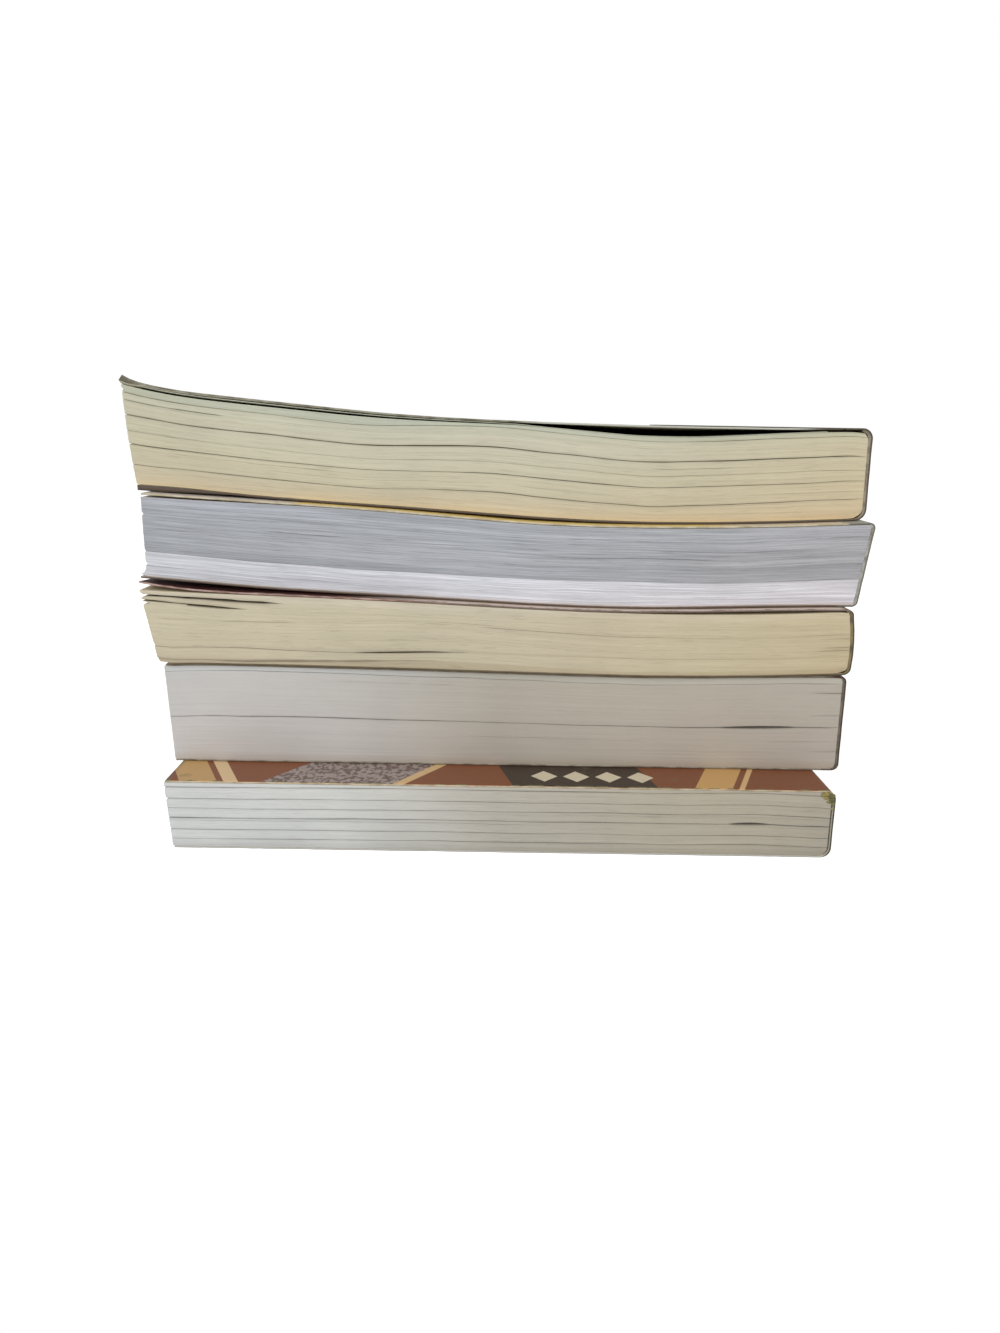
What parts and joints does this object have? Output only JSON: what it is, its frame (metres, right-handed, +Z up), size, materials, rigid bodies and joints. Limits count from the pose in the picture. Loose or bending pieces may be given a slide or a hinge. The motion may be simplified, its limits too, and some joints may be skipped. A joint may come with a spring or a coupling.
{
  "type": "stack of books",
  "caption": "Stack of old paperback books lying on their backs, with wavy page blocks, curled card covers and a top front cover that opens at its crease.",
  "frame": {"origin": "middle of the bottom book's underside, on the surface that the stack lies on", "axes": "+X from the fore-edges to the spines, +Y from the heads to the tails, +Z up through the stack"},
  "size_m": [0.1536, 0.2434, 0.0971],
  "materials": {
    "top_cover_card": "worn satin card",
    "cream_pages": "yellowed uncoated paper",
    "yellow_cover_card": "worn satin card",
    "grey_pages": "streaked uncoated paper",
    "maroon_cover_card": "worn satin card",
    "tan_pages": "yellowed uncoated paper",
    "plain_cover_card": "worn satin card",
    "beige_pages": "smooth uncoated paper",
    "brown_cover_card": "glossy coated card",
    "white_pages": "smooth uncoated paper",
    "binding_glue": "yellowed hot glue"
  },
  "bodies": {
    "books": {"top_book_spine_and_back_cover": "top_cover_card", "top_book_pages": "cream_pages", "top_book_spine_glue": "binding_glue", "second_book_cover": "yellow_cover_card", "second_book_pages": "grey_pages", "second_book_spine_glue": "binding_glue", "middle_book_cover": "maroon_cover_card", "middle_book_pages": "tan_pages", "middle_book_spine_glue": "binding_glue", "fourth_book_cover": "plain_cover_card", "fourth_book_pages": "beige_pages", "fourth_book_spine_glue": "binding_glue", "bottom_book_cover": "brown_cover_card", "bottom_book_pages": "white_pages", "bottom_book_spine_glue": "binding_glue"},
    "top_front_cover": {"top_book_front_cover": "top_cover_card"}
  },
  "joints": [
    {"name": "front_cover_crease", "type": "hinge", "parent": "books", "child": "top_front_cover", "pos_m": [0.069, 0.0233, 0.08968], "axis": [0, 1, 0], "range_deg": [0, 180]}
  ]
}
